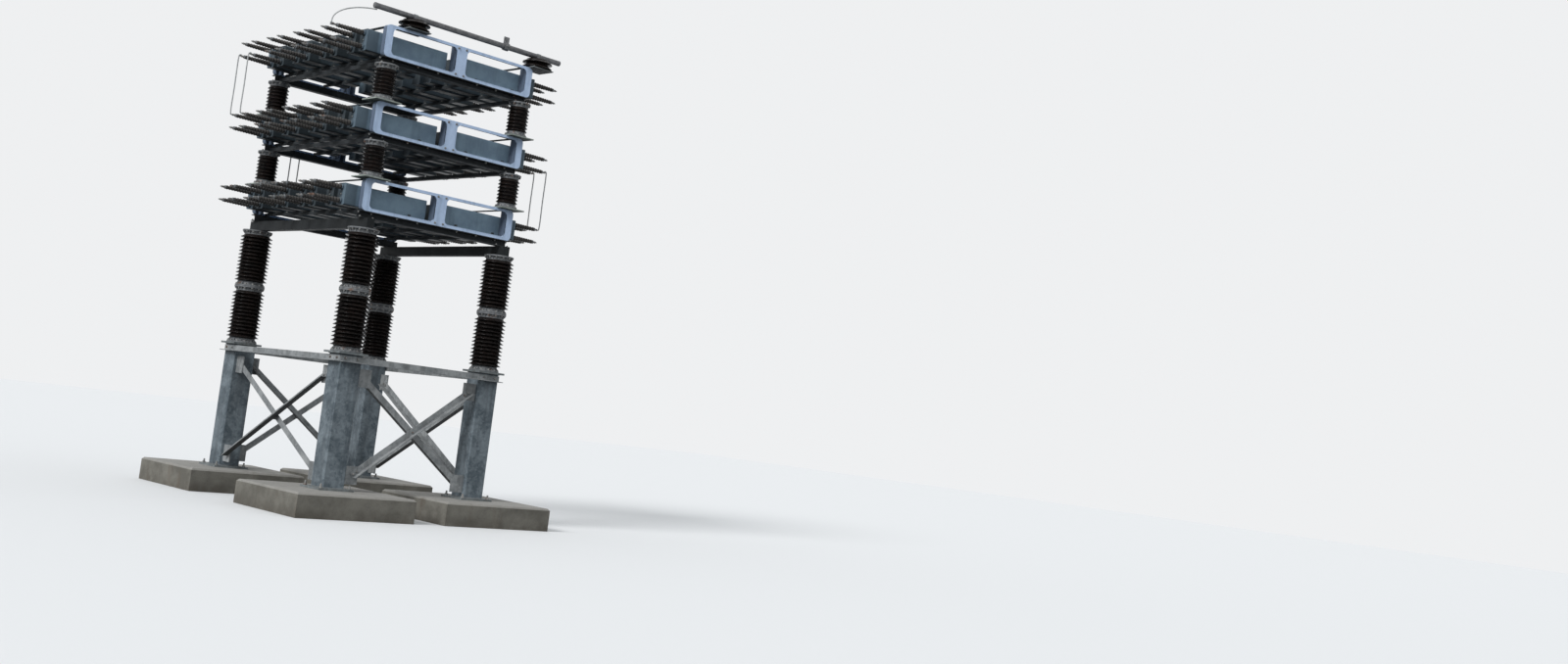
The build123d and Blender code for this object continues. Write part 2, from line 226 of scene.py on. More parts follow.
class Signal:
    # a socket that adds its own Math nodes when it is used in an expression
    def __init__(self, wiring, socket):
        self.wiring, self.socket = wiring, socket

    def __add__(self, other):
        return self.wiring.maths("ADD", self, other)

    def __rsub__(self, other):
        return self.wiring.maths("SUBTRACT", other, self)

    def __mul__(self, other):
        return self.wiring.maths("MULTIPLY", self, other)

    __radd__ = __add__
    __rmul__ = __mul__


class Wiring:
    # adds nodes to one tree
    def __init__(self, tree):
        self.tree = tree

    def node(self, kind, settings=None, inputs=None, out=0):
        made = self.tree.nodes.new(kind)
        for key, value in (settings or {}).items():
            setattr(made, key, value)
        for key, value in (inputs or {}).items():
            if isinstance(value, Signal):
                self.tree.links.new(value.socket, made.inputs[key])
            else:
                made.inputs[key].default_value = value
        return Signal(self, made.outputs[out])

    def maths(self, operation, *values):
        return self.node("ShaderNodeMath", {"operation": operation}, dict(enumerate(values)))

    def most(self, first, second):
        return self.maths("MAXIMUM", first, second)

    def onView(self):
        # 1 for what is looked at straight, in gloss or through glass, 0 for what only lights
        kinds = ("Camera", "Glossy", "Transmission")
        camera, glossy, through = (self.node("ShaderNodeLightPath", out=f"Is {kind} Ray") for kind in kinds)
        return self.most(self.most(camera, glossy), through)


class Coat(Wiring):
    # one material: a Principled shader and the nodes that vary it
    def __init__(self, name, gloss=0.5):
        self.material = bpy.data.materials.new(name)
        self.material.use_nodes = True
        super().__init__(self.material.node_tree)
        self.shader = self.tree.nodes["Principled BSDF"]
        self.shader.inputs["Specular IOR Level"].default_value = gloss
        self.place = self.node("ShaderNodeTexCoord", out="Object")
        self.normal = self.node("ShaderNodeNewGeometry", out="Normal")
        self.lean = self.axis(self.normal, "Z")

    def axis(self, vector, name):
        return self.node("ShaderNodeSeparateXYZ", inputs={0: vector}, out=name)

    def cloud(self, scale, detail=4.0, stretch=(1, 1, 1)):
        # soft noise; stretch squeezes it along an axis
        place = self.node("ShaderNodeMapping", inputs={"Vector": self.place, "Scale": stretch})
        noise = {"Vector": place, "Scale": scale, "Detail": detail, "Roughness": 0.6}
        return self.node("ShaderNodeTexNoise", inputs=noise)

    def cells(self, scale, out):
        return self.node("ShaderNodeTexVoronoi", inputs={"Vector": self.place, "Scale": scale}, out=out)

    def flakes(self, scale):
        # one random value per crystal of the zinc
        return self.node("ShaderNodeSeparateColor", inputs={0: self.cells(scale, "Color")})

    def step(self, signal, low, high):
        # 0 under low, 1 over high, smooth between
        span = {"Value": signal, "From Min": low, "From Max": high}
        return self.node("ShaderNodeMapRange", {"interpolation_type": "SMOOTHSTEP"}, span)

    def beyond(self, vector, name, low, high):
        # 1 where the vector reaches past high along the axis, either way
        return self.step(self.maths("ABSOLUTE", self.axis(vector, name)), low, high)

    def patches(self, scale, detail=4.0, low=0.35, high=0.65):
        return self.step(self.cloud(scale, detail), low, high)

    def runs(self, scale, squeeze, low, high):
        # streaks that water leaves down the uprights
        return self.step(self.cloud(scale, 5, (1, 1, squeeze)), low, high)

    def mix(self, mask, first, second):
        first, second = (value if isinstance(value, Signal) else (*value, 1) for value in (first, second))
        return self.node("ShaderNodeMix", {"data_type": "RGBA"}, {0: mask, 6: first, 7: second}, 2)

    def dusted(self, colour, dust, share, patches, low=0.5):
        # dust lies in patches on what faces up
        return self.mix(self.step(self.lean, low, 0.95) * patches * share, colour, dust)

    def underShaded(self, colour, underShade, share):
        # painted shade: what faces down is painted near black
        return self.mix(self.step(0 - self.lean, 0.5, 0.95) * share, colour, underShade)

    def finish(self, colour, roughness, metallic=0.0, relief=None, depth=0.001, strength=0.4):
        if relief is not None:
            settings = {"Strength": strength, "Distance": depth, "Height": relief}
            bump = self.node("ShaderNodeBump", inputs=settings)
            self.tree.links.new(bump.socket, self.shader.inputs["Normal"])
        for key, value in (("Base Color", colour), ("Roughness", roughness), ("Metallic", metallic)):
            if isinstance(value, Signal):
                self.tree.links.new(value.socket, self.shader.inputs[key])
            else:
                self.shader.inputs[key].default_value = (*value, 1) if key == "Base Color" else value
        return self.material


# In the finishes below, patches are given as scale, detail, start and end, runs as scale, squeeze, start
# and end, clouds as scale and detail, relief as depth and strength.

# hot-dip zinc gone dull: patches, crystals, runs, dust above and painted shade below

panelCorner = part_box("tier_1_end_frames")[1]
# the X part of a normal, from where a face starts to count as looking along X
facingX = (0.6, 0.95)
zinc = {
    "gloss": 0.12, "patches": (4.5, 6, 0.4, 0.6), "crystals": 34,
    "runs": (9, 0.1, 0.48, 0.64), "runShare": 0.4, "panelDepth": 0.03, "panelEdge": 0.004, "webShadeShare": 0.85,
    "dustPatches": (14, 4, 0.35, 0.6), "dustFrom": 0.6, "dustShare": 0.5,
    "underShade": (0.011, 0.0115, 0.012), "underShadeShare": 0.75, "grain": (70, 3), "relief": (0.0006, 0.3),
}


def zincCoat(name, dark, light, dirt, metallic=0.15, web=None):
    coat = Coat(name, zinc["gloss"])
    patches = coat.patches(*zinc["patches"])
    crystals = coat.flakes(zinc["crystals"])
    colour = coat.mix(patches * 0.55 + crystals * 0.45, dark, light)
    colour = coat.mix(coat.runs(*zinc["runs"]) * zinc["runShare"], colour, dirt)
    if web:
        # painted shade: the webs of posts and rails, which face along X, and all behind the panel are painted
        # a darker blue, as shade falls there
        back = panelCorner.y - zinc["panelDepth"]
        behind = 1 - coat.beyond(coat.place, "Y", back - zinc["panelEdge"], back)
        shade = coat.most(coat.beyond(coat.normal, "X", *facingX), behind)
        colour = coat.mix(shade * zinc["webShadeShare"], colour, web)
    dust = tuple(0.5 * part + 0.07 for part in light)
    dustPatches = coat.patches(*zinc["dustPatches"])
    colour = coat.dusted(colour, dust, zinc["dustShare"], dustPatches, zinc["dustFrom"])
    colour = coat.underShaded(colour, zinc["underShade"], zinc["underShadeShare"])
    roughness = 0.48 + crystals * 0.14 + patches * 0.1
    return coat.finish(colour, roughness, metallic, coat.cloud(*zinc["grain"]), *zinc["relief"])


# satin paint of the cans, a little chalky, with runs, dust, painted shade between the cans and painted shade
# below

paint = {
    "gloss": 0.12, "deep": (0.178, 0.255, 0.335), "chalky": (0.228, 0.325, 0.408), "chalk": (5, 5),
    "run": (0.1, 0.145, 0.185), "runs": (7, 0.12, 0.5, 0.72), "runShare": 0.35,
    "endShade": (0.045, 0.058, 0.066), "endShadeShare": 0.62, "endShadeEdge": 0.02,
    "betweenShade": (0.028, 0.033, 0.035), "betweenShadeCloud": (9, 5), "outerCansFrom": (1.15, 1.3), "upFacing": (0.2, 0.8),
    "dust": (0.18, 0.2, 0.21), "dustPatches": (11, 4, 0.3, 0.6), "dustShare": 0.6,
    "underShade": (0.01, 0.0105, 0.011), "underShadeShare": 0.95, "grain": (130, 2), "relief": (0.0003, 0.2),
}


def canCoat(name):
    coat = Coat(name, paint["gloss"])
    chalk = coat.patches(*paint["chalk"])
    colour = coat.mix(chalk, paint["deep"], paint["chalky"])
    colour = coat.mix(coat.runs(*paint["runs"]) * paint["runShare"], colour, paint["run"])
    # painted shade: the lids, and the ends that stick out past the end frames, are painted greyer and darker
    lidShade = coat.beyond(coat.normal, "X", *facingX)
    reach, edge = panelCorner.x, paint["endShadeEdge"]
    endShade = coat.beyond(coat.place, "X", reach - edge, reach + edge)
    colour = coat.mix(coat.most(lidShade, endShade) * paint["endShadeShare"], colour, paint["endShade"])
    # painted shade between the cans: the sides of all but the outermost are painted darker, in a cloud, less
    # on faces that look up
    inner = 1 - coat.beyond(coat.place, "Y", *paint["outerCansFrom"])
    betweenShade = inner * (1 - coat.step(coat.lean, *paint["upFacing"]) * 0.6)
    colour = coat.mix(betweenShade * (0.7 + 0.25 * coat.cloud(*paint["betweenShadeCloud"])), colour, paint["betweenShade"])
    colour = coat.dusted(colour, paint["dust"], paint["dustShare"], coat.patches(*paint["dustPatches"]))
    colour = coat.underShaded(colour, paint["underShade"], paint["underShadeShare"])
    return coat.finish(colour, 0.36 + chalk * 0.16, 0.0, coat.cloud(*paint["grain"]), *paint["relief"])


# brown-black glaze, thinner in patches, with dust lying on the upper faces

glaze = {
    "gloss": 0.1, "thinPatches": (7, 3), "filmFrom": (0.2, 0.9), "filmPatches": (22, 5), "filmShare": 0.55,
    "grain": (40, 2), "relief": (0.0004, 0.15),
}


def glazeCoat(name, deep, thin, dusty):
    coat = Coat(name, glaze["gloss"])
    colour = coat.mix(coat.patches(*glaze["thinPatches"]), deep, thin)
    film = coat.step(coat.lean, *glaze["filmFrom"]) * coat.patches(*glaze["filmPatches"])
    colour = coat.mix(film * glaze["filmShare"], colour, dusty)
    return coat.finish(colour, 0.2 + film * 0.35, 0.0, coat.cloud(*glaze["grain"]), *glaze["relief"])


# concrete cast against boards: a pale top that is painted light, pores, damp at the foot, worn top edges, a
# rust run or two

footing = {
    "deep": (0.105, 0.1, 0.085), "light": (0.18, 0.173, 0.15), "blotches": (2.6, 7, 0.36, 0.64),
    "top": (0.27, 0.265, 0.25), "litTopLean": (0.3, 0.9), "litTopShare": 0.7,
    "pit": (0.075, 0.068, 0.06), "pitGrain": (60, 6), "pitFrom": (0.52, 0.7), "pitShare": 0.5,
    "damp": (0.07, 0.06, 0.048), "dampTo": (0.02, 0.16), "dampPatches": (6, 5, 0.3, 0.6), "dampShare": 0.55,
    "rust": (0.1, 0.075, 0.055), "rustRuns": (4.5, 0.15, 0.56, 0.72), "rustShare": 0.5,
    "worn": (0.27, 0.26, 0.245), "wornFrom": (0.27, 0.3), "wornPatches": (9, 5, 0.3, 0.6), "wornShare": 0.6,
    "pores": 42, "poreRim": (0.05, 0.22), "waves": (3, 3), "relief": (0.004, 0.6),
}


def concreteCoat(name):
    coat = Coat(name)
    height = coat.axis(coat.place, "Z")
    blotch = coat.patches(*footing["blotches"])
    colour = coat.mix(blotch, footing["deep"], footing["light"])
    # painted light: the top faces are painted paler with the top colour
    colour = coat.mix(coat.step(coat.lean, *footing["litTopLean"]) * footing["litTopShare"], colour, footing["top"])
    grain = coat.cloud(*footing["pitGrain"])
    colour = coat.mix(coat.step(grain, *footing["pitFrom"]) * footing["pitShare"], colour, footing["pit"])
    damp = (1 - coat.step(height, *footing["dampTo"])) * coat.patches(*footing["dampPatches"])
    colour = coat.mix(damp * footing["dampShare"], colour, footing["damp"])
    colour = coat.mix(coat.runs(*footing["rustRuns"]) * footing["rustShare"], colour, footing["rust"])
    worn = coat.step(height, *footing["wornFrom"]) * coat.patches(*footing["wornPatches"])
    colour = coat.mix(worn * footing["wornShare"], colour, footing["worn"])
    pores = coat.cells(footing["pores"], "Distance")
    relief = grain * 0.6 + coat.step(pores, *footing["poreRim"]) * 0.6 + coat.cloud(*footing["waves"]) * 0.8
    return coat.finish(colour, 0.86 + blotch * 0.08, 0.0, relief, *footing["relief"])


# dull metal, with rust in spots where rust is asked for

metal = {
    "streaks": 24, "streakFrom": (0.35, 0.65), "rust": (0.13, 0.055, 0.025), "rustScale": 9, "rustDetail": 6,
    "rustFrom": (0.66, 0.78), "rustSpread": 0.2, "rustShare": 0.8, "dust": (0.16, 0.155, 0.15),
    "dustPatches": 30, "dustShare": 0.4, "grain": (90, 3), "relief": (0.0004, 0.25),
}


def metalCoat(name, dark, light, roughness, metallic, rust=0.0):
    coat = Coat(name)
    streaks = coat.cloud(metal["streaks"])
    colour = coat.mix(coat.step(streaks, *metal["streakFrom"]), dark, light)
    if rust:
        low, high = (edge - metal["rustSpread"] * rust for edge in metal["rustFrom"])
        spots = coat.patches(metal["rustScale"], metal["rustDetail"], low, high)
        colour = coat.mix(spots * metal["rustShare"], colour, metal["rust"])
    colour = coat.dusted(colour, metal["dust"], metal["dustShare"], coat.patches(metal["dustPatches"]))
    roughness = roughness + streaks * 0.16
    return coat.finish(colour, roughness, metallic, coat.cloud(*metal["grain"]), *metal["relief"])


# each zinc has a dark and a light shade and one for its runs
standSteel = zincCoat("stand zinc", (0.07, 0.09, 0.106), (0.195, 0.23, 0.255), (0.048, 0.056, 0.063))
barSteel = zincCoat("bar zinc", (0.17, 0.182, 0.19), (0.33, 0.345, 0.35), (0.09, 0.094, 0.095))
# tier zinc's web colour is painted shade, for faces along X and all behind the panel
tierSteel = zincCoat(
    "tier zinc", (0.42, 0.54, 0.74), (0.5, 0.63, 0.84), (0.28, 0.37, 0.5),
    metallic=0.0, web=(0.05, 0.068, 0.1))
# beam zinc is a dark copy of the zinc: painted shade for the cross beams, tie beams and floor rails under the
# cans
beamSteel = zincCoat("beam zinc", (0.022, 0.025, 0.028), (0.044, 0.049, 0.053), (0.015, 0.017, 0.018))
# painted shade: the base beams get a still darker copy
shadowedBaseSteel = zincCoat("base beam zinc", (0.012, 0.014, 0.015), (0.026, 0.029, 0.031), (0.009, 0.01, 0.011))
railSteel = zincCoat("rail zinc", (0.06, 0.07, 0.076), (0.1, 0.114, 0.12), (0.035, 0.04, 0.043))
plateSteel = zincCoat("plate zinc", (0.12, 0.135, 0.142), (0.2, 0.22, 0.225), (0.075, 0.072, 0.065))
seatSteel = zincCoat("seat zinc", (0.21, 0.245, 0.225), (0.35, 0.39, 0.36), (0.11, 0.125, 0.11))
canPaint = canCoat("can paint")
columnGlaze = glazeCoat(
    "column glaze", (0.0045, 0.0038, 0.0038), (0.011, 0.0075, 0.0065), (0.022, 0.02, 0.019))
bushingGlaze = glazeCoat("bushing glaze", (0.04, 0.038, 0.037), (0.068, 0.064, 0.061), (0.15, 0.146, 0.14))
castIron = metalCoat("castings", (0.085, 0.092, 0.1), (0.165, 0.173, 0.18), 0.5, 0.15, rust=0.35)
concrete = concreteCoat("footing concrete")
tubeMetal = metalCoat("tube aluminium", (0.085, 0.087, 0.093), (0.15, 0.152, 0.158), 0.42, 0.4)
wireMetal = metalCoat("wire aluminium", (0.3, 0.31, 0.32), (0.42, 0.43, 0.43), 0.42, 0.3)
boltZinc = metalCoat("bolt zinc", (0.16, 0.165, 0.165), (0.27, 0.27, 0.26), 0.42, 0.35, rust=0.6)
cement = metalCoat("cement", (0.22, 0.21, 0.19), (0.32, 0.31, 0.29), 0.85, 0.0)

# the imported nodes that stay, by parts of their names
stayingFinishes = {
    concrete: ["footing_"],
    standSteel: ["leg_"],
    barSteel: ["ring_bars_", "braces_", "gussets"],
    plateSteel: ["base_plates", "cap_plates", "bus_seats"],
    seatSteel: ["_seat_plates"],
    beamSteel: ["_cross_beams", "tie_beams", "_floor_rails"],
    shadowedBaseSteel: ["base_beams"],
    railSteel: ["_side_rails"],
    tubeMetal: ["bus_saddles", "bus_clamp"],
}
for finish, names in stayingFinishes.items():
    for node in nodes.values():
        if any(name in node.name for name in names):
            coated(node, finish)
print("finishes mixed")


# bolts with washer and nut, used all over

# radius and height up from the seat, at size 1
bolt = {
    "washer": [(0.0165, 0), (0.0165, 0.003)],
    "nut": [(0.0135, 0.003), (0.0135, 0.0135), (0.01161, 0.015)],
    "stub": [(0.0075, 0.015), (0.0075, 0.0199), (0.00525, 0.022)],
}


def makeBolt(size):
    parts = [turned(part, bolt[part], corners) for part, corners in (("washer", 12), ("nut", 6), ("stub", 8))]
    made = joined("bolt", parts)
    made.data.transform(Matrix.Scale(size, 4))
    return coated(made, boltZinc)


def bolted(name, size, spots):
    fitted(stamped(name, makeBolt(size), spots), "galvanised_steel")


# post insulators: porcelain with one shape of shed, stout under the first tier, slim between tiers

stout = {
    "sides": 44, "core": 0.17, "rim": 0.2105, "sheds": 13,
    "flange": 0.198, "neck": 0.167, "boltCircle": 0.182, "bolts": 12,
}
slim = {
    "sides": 36, "core": 0.119, "rim": 0.1435, "sheds": 7,
    "flange": 0.15, "neck": 0.122, "boltCircle": 0.136, "bolts": 8,
}
# a hollow underside, a thick drip edge, a long dished slope: share of the reach, share of the pitch
shedShape = (
    (0, 0), (0.15, 0.14), (0.88, 0.2), (0.985, 0.24), (1, 0.31), (0.975, 0.38), (0.5, 0.58), (0.12, 0.8))


def shedOutline(core, rim, height, count):
    reach, pitch = rim - core, height / count
    outline = [
        (core + reach * share, (index + rise) * pitch) for index in range(count) for share, rise in shedShape]
    return outline + [(core, height)]


def makePorcelain(node, build, name):
    # one body, copied on the four columns
    low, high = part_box(node)
    outline = shedOutline(build["core"], build["rim"], high.z - low.z, build["sheds"])
    body = coated(turned("body", outline, build["sides"]), columnGlaze)
    piece = stamped(name, body, [facing(spot + Vector((0, 0, low.z))) for spot in columnSpots])
    fitted(piece, "porcelain", node)


for place in ("bottom", "top"):
    makePorcelain("stand_insulators_" + place, stout, "stand porcelain " + place)
for tier in tiers[:-1]:
    makePorcelain(f"tier_{tier}_insulators", slim, f"tier {tier} porcelain")

fittingShape = {
    "flange": ((-0.003, 0), (0, 0.003), (0, 0.018), (-0.005, 0.022)),
    "neck": (
        (0.012, 0.0235), (0.003, 0.03), (0, 0.04), (-0.002, 0.056),
        (0.0005, 0.059), (0.0005, 0.064), (-0.003, 0.067)),
    "mouth": ((-0.003, 0.0665), (-0.005, 0.07)), "mouthIn": 0.004, "mouthTop": 0.071,
    "ribHalf": 0.005, "ribFoot": 0.02, "ribTop": 0.058, "ribIn": 0.004, "ribTaper": 0.15,
    "boltSeat": 0.0215, "boltSize": 0.95,
}


def makeFittings(node, build, unitBases, unitHeight, name):
    # flange, neck with a bead, a ring of cement at the mouth, ribs and bolts on the flange
    flange, neck, shape = build["flange"], build["neck"], fittingShape
    outline = [(flange + out, up) for out, up in shape["flange"]]
    outline += [(neck + out, up) for out, up in shape["neck"]]
    casting = coated(turned("casting", outline, build["sides"]), castIron)
    mouth = [(neck + out, up) for out, up in shape["mouth"]]
    mouth.append((build["core"] - shape["mouthIn"], shape["mouthTop"]))
    seal = coated(turned("seal", mouth, build["sides"]), cement)
    root, rim, half = neck - shape["ribIn"], flange - shape["ribIn"], shape["ribHalf"]
    rib = coated(block("rib", (root, -half, shape["ribFoot"]), (rim, half, shape["ribTop"])), castIron)
    startEdit(rib)
    pickFaces(rib, lambda middle, normal: normal.z > 0.9)
    bpy.ops.transform.resize(value=(shape["ribTaper"], 1, 1), center_override=(root, 0, shape["ribTop"]))
    endEdit()
    step = 2 * pi / build["bolts"]
    ribs = stamped("ribs", rib, [Matrix.Rotation(step * index, 4, "Z") for index in range(build["bolts"])])
    seats = ringSpots(shape["boltSeat"], build["boltCircle"], build["bolts"], turn=step / 2)
    nuts = stamped("nuts", makeBolt(shape["boltSize"]), seats)
    fitting = joined("fitting", [casting, seal, ribs, nuts])
    feet = [Matrix.Translation(spot + Vector((0, 0, base))) for spot in columnSpots for base in unitBases]
    heads = [foot @ Matrix.Translation((0, 0, unitHeight)) @ Matrix.Rotation(pi, 4, "X") for foot in feet]
    fitted(stamped(name, fitting, feet + heads), "insulator_fitting", node)


low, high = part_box("stand_insulator_fittings")
standUnit = (high.z - low.z) / 2
makeFittings("stand_insulator_fittings", stout, (low.z, low.z + standUnit), standUnit, "stand fittings")
for tier in tiers[:-1]:
    low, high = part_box(f"tier_{tier}_insulator_fittings")
    makeFittings(f"tier_{tier}_insulator_fittings", slim, (low.z,), high.z - low.z, f"tier {tier} fittings")
print("post insulators done")


# capacitor cans, in pairs along each row

can = {
    "pairs": 4, "pairPitch": 0.735, "pitch": 0.29, "thickness": 0.19,
    "edge": 0.02, "edgeSteps": 4, "lip": 0.006, "dish": 0.006, "dishRound": 0.002, "ease": 0.0015,
    "seam": 0.05, "seamHalf": 0.004, "seamShrink": (1, 0.986, 0.99),
    "plug": [(0.017, 0), (0.017, 0.004), (0.015, 0.0055)], "plugLap": 0.001,
    "plugHead": [(0.011, 0.005), (0.011, 0.0125), (0.009, 0.014)],
}
pairMiddles = [(index - (can["pairs"] - 1) / 2) * can["pairPitch"] for index in range(can["pairs"])]
canRows = [middle + step * can["pitch"] / 2 for middle in pairMiddles for step in (-1, 1)]
canLow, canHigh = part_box("tier_1_cans_right")
canHeight, canLength = canHigh.z - canLow.z, canHigh.x - canLow.x


def makeCan():
    # lies along X with its root at the origin: rounded long edges, dished ends, two seams, a filler plug
    half, rise = can["thickness"] / 2, canHeight / 2
    body = block("can", (0, -half, -rise), (canLength, half, rise))
    startEdit(body, "EDGE")
    pickEdges(body, lambda a, b: abs(a.x - b.x) > 0.5)
    bpy.ops.mesh.bevel(offset=can["edge"], segments=can["edgeSteps"])
    bpy.ops.mesh.select_mode(type="FACE")
    for end in (-1, 1):
        pickFaces(body, lambda middle, normal: normal.x * end > 0.9)
        bpy.ops.mesh.inset(thickness=can["lip"], depth=0)
        bpy.ops.mesh.inset(thickness=can["dishRound"], depth=-can["dish"])
    near = can["seamHalf"] / 2
    for seam in (can["seam"], canLength - can["seam"]):
        for side in (-1, 1):
            cutAt((seam + side * can["seamHalf"], 0, 0), (1, 0, 0))
        pickFaces(body, lambda middle, normal: abs(middle.x - seam) < near and abs(normal.x) < 0.5)
        bpy.ops.transform.resize(value=can["seamShrink"], center_override=(seam, 0, 0))
    endEdit()
    body = coated(eased(body, can["ease"], 1, 50), canPaint)
    plug = coated(turned("plug", can["plug"], 16), canPaint)
    head = coated(turned("head", can["plugHead"], 6), boltZinc)
    for part in (plug, head):
        part.data.transform(facing((canLength - can["dish"] - can["plugLap"], 0, 0), (1, 0, 0)))
    return joined("can", [body, plug, head])


# bushings: collar, small sheds, metal cap and terminal, from the root up

bushing = {
    "sheds": 9, "root": 0.0365, "tip": 0.0285, "sides": 14, "length": 0.39, "edgeDistance": 0.052,
    "foot": 0.022, "capHeight": 0.018, "neck": (0.0345, 0.016), "endRadius": 0.022,
    "collar": [(0.0365, -0.002), (0.0375, 0.004), (0.0375, 0.013), (0.034, 0.018)],
    "cap": [(0.0235, -0.004), (0.0245, 0), (0.0245, 0.012), (0.019, 0.018)],
    # how far in from the rim, share of the pitch
    "shed": ((0.0085, 0), (0, 0.38), (0.0008, 0.52), (0.0075, 0.94)),
}
# stud, nuts and tab of the terminal, up from the end of the cap
terminal = {
    "stud": ((0.0085, -0.002), (0.0085, 0.054), (0.006, 0.0585)),
    "nut": ((0.0155, 0), (0.0155, 0.01), (0.0135, 0.0115)), "nutFeet": (0.004, 0.026),
    "tabHalf": (0.012, 0.0115), "tabFrom": 0.017, "tabTo": 0.022, "tabEase": 0.002,
}


def makeBushing():
    # stands on the origin along Z
    foot, head = bushing["foot"], bushing["length"] - bushing["capHeight"]
    pitch = (head - foot) / bushing["sheds"]
    outline = [bushing["neck"]]
    for index in range(bushing["sheds"]):
        share = index / (bushing["sheds"] - 1)
        rim = bushing["root"] + (bushing["tip"] - bushing["root"]) * share
        outline += [(rim - inward, foot + (index + rise) * pitch) for inward, rise in bushing["shed"]]
    outline.append((bushing["endRadius"], head))
    return [
        coated(turned("bushing body", outline, bushing["sides"]), bushingGlaze),
        coated(turned("collar", bushing["collar"], bushing["sides"]), canPaint),
        coated(turned("cap", raised(bushing["cap"], head), bushing["sides"]), castIron),
    ]


def makeTerminal():
    foot = bushing["length"]
    parts = [turned("stud", raised(terminal["stud"], foot), 10)]
    for base in terminal["nutFeet"]:
        parts.append(turned("nut", raised(terminal["nut"], foot + base), 6))
    halfX, halfY = terminal["tabHalf"]
    tab = block("tab", (-halfX, -halfY, foot + terminal["tabFrom"]), (halfX, halfY, foot + terminal["tabTo"]))
    return coated(joined("terminal", [*parts, eased(tab, terminal["tabEase"], 1)]), boltZinc)


oneCan = makeCan()
oneBushing = joined("bushing", makeBushing() + [makeTerminal()])
bushingRise = canHeight / 2 - bushing["edgeDistance"]
for tier in tiers:
    for side, place in sides:
        low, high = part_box(f"tier_{tier}_cans_{place}")
        middle = (low.z + high.z) / 2
        rootX, lidX = (low.x, high.x) if side > 0 else (high.x, low.x)
        turn = Matrix.Identity(4) if side > 0 else aboutTurn
        spots = [Matrix.Translation((rootX, y, middle)) @ turn for y in canRows]
        cans = stamped(f"tier {tier} cans {place}", oneCan, spots, keep=True)
        fitted(cans, "can_paint", f"tier_{tier}_cans_{place}")
        spots = [
            facing((lidX, y, middle + step * bushingRise), (side, 0, 0)) for y in canRows for step in (-1, 1)]
        rods = stamped(f"tier {tier} bushings {place}", oneBushing, spots, keep=True)
        fitted(rods, "bushing_porcelain", f"tier_{tier}_bushings_{place}")
bpy.data.objects.remove(oneCan)
bpy.data.objects.remove(oneBushing)
print("cans and bushings done")


# end frames: a pressed panel with two windows, rolled lips, a return all round, posts behind

endFrame = {
    "sheet": 0.008, "corner": 0.06, "cornerSteps": 7, "return": 0.09, "returnSet": 0.001,
    "postDepth": 0.15, "postWidth": 0.04, "web": 0.008, "flange": 0.034, "flangeSheet": 0.007,
    "post": 0.1, "midPost": 0.16, "topRail": 0.038, "bottomRail": 0.042, "windowCorner": 0.055,
    "lip": 0.005, "lipDepth": 0.026, "lipProud": 0.0015, "cutterFrom": -0.02, "cutterTo": 0.03,
    "backShare": 0.5, "endShare": 0.9, "panelEase": 0.0012, "partEase": 0.0014,
}


def roundedBlock(name, low, high, corner):
    # a block whose four edges along Y are rounded
    made = block(name, low, high)
    startEdit(made, "EDGE")
    pickEdges(made, lambda a, b: abs(a.x - b.x) < 1e-4 and abs(a.z - b.z) < 1e-4)
    bpy.ops.mesh.bevel(offset=corner, segments=endFrame["cornerSteps"])
    endEdit()
    return made


def sleeve(name, low, high, corner, wall):
    # the same block as an open sleeve; a wall under nought goes inwards
    made = roundedBlock(name, low, high, corner)
    startEdit(made)
    pickFaces(made, lambda middle, normal: abs(normal.y) > 0.9)
    bpy.ops.mesh.delete(type="FACE")
    endEdit()
    return worked(made, "SOLIDIFY", thickness=abs(wall), offset=1 if wall > 0 else -1)


def makeEndFrame(halfWidth, height):
    # outer face at y = 0, everything else behind it towards +Y
    sheet, depth, corner = endFrame["sheet"], endFrame["postDepth"], endFrame["windowCorner"]
    panel = roundedBlock("panel", (-halfWidth, 0, 0), (halfWidth, sheet, height), endFrame["corner"])
    inner, outer = endFrame["midPost"] / 2, halfWidth - endFrame["post"]
    low, high = endFrame["bottomRail"], height - endFrame["topRail"]
    parts = []
    for left, right in ((-outer, -inner), (inner, outer)):
        cutLow, cutHigh = (left, endFrame["cutterFrom"], low), (right, endFrame["cutterTo"], high)
        cutter = roundedBlock("cutter", cutLow, cutHigh, corner)
        worked(panel, "BOOLEAN", operation="DIFFERENCE", object=cutter)
        bpy.data.objects.remove(cutter)
        lipLow, lipHigh = (left, -endFrame["lipProud"], low), (right, endFrame["lipDepth"], high)
        parts.append(sleeve("lip", lipLow, lipHigh, corner, endFrame["lip"]))
    edgeLow, edgeHigh = (-halfWidth, endFrame["returnSet"], 0), (halfWidth, endFrame["return"], height)
    parts.append(sleeve("return", edgeLow, edgeHigh, endFrame["corner"], -sheet))
    back, foot = sheet * endFrame["backShare"], sheet * endFrame["endShare"]
    head = height - foot
    for side in (-1, 1):
        middle, half = side * (outer + endFrame["postWidth"] / 2), endFrame["postWidth"] / 2
        parts.append(block("post", (middle - half, back, foot), (middle + half, depth, head)))
        middle, half = side * (inner - endFrame["web"] / 2), endFrame["web"] / 2
        parts.append(block("web", (middle - half, back, foot), (middle + half, depth, head)))
        near, far = sorted((side * (inner - endFrame["flange"]), side * inner))
        parts.append(block("flange", (near, depth - endFrame["flangeSheet"], foot), (far, depth, head)))
    eased(panel, endFrame["panelEase"], 1, 50)
    for part in parts:
        eased(part, endFrame["partEase"], 1, 50)
    return coated(joined("end frame", [panel, *parts]), tierSteel)


